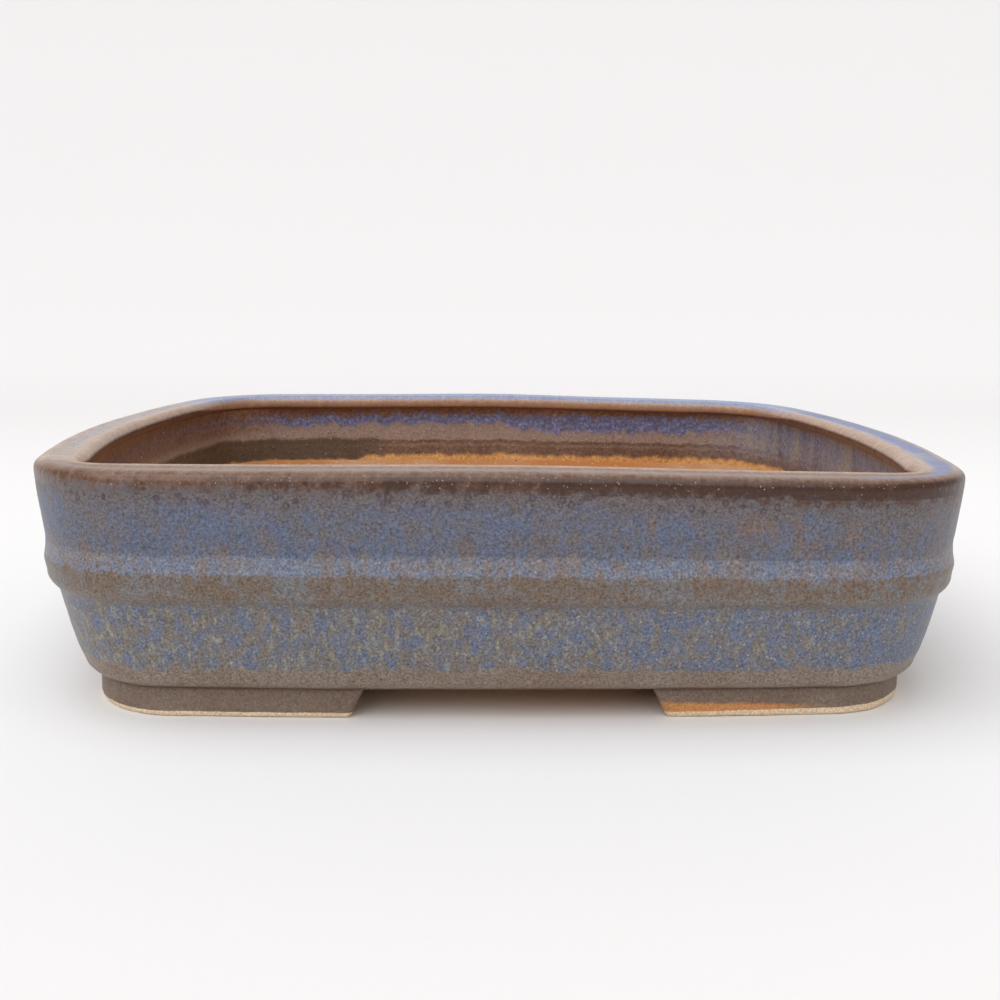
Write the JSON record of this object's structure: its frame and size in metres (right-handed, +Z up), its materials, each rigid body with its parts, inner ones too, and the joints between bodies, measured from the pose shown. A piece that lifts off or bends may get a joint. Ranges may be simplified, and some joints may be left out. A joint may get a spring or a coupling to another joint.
{
  "type": "bonsai pot",
  "caption": "Shallow glazed rectangular planter with rounded corners, a raised belt, a flat in-turned lip, drain and wire holes, and corner feet that lift it clear of the surface.",
  "frame": {"origin": "on the resting plane, under the middle of the pot", "axes": "+Z up, +X along the long side, the front towards -Y"},
  "size_m": [0.175, 0.14, 0.045],
  "materials": {
    "glaze_wall": "satin-matt blue-grey crystalline glaze",
    "glaze_lip": "satin-matt blue glaze breaking brown at the edges",
    "glaze_belt": "satin olive-brown glaze with a blue upper slope",
    "bare_clay": "unglazed, flashed orange in the firing",
    "glaze_foot": "thin dry grey-brown glaze over clay, bare where it stands"
  },
  "bodies": {
    "root": {"floor_slab": "bare_clay", "lower_wall": "glaze_wall", "belt": "glaze_belt", "upper_wall": "glaze_wall", "lip": "glaze_lip", "foot_front_left": "glaze_foot", "foot_front_right": "glaze_foot", "foot_back_left": "glaze_foot", "foot_back_right": "glaze_foot"}
  },
  "joints": []
}
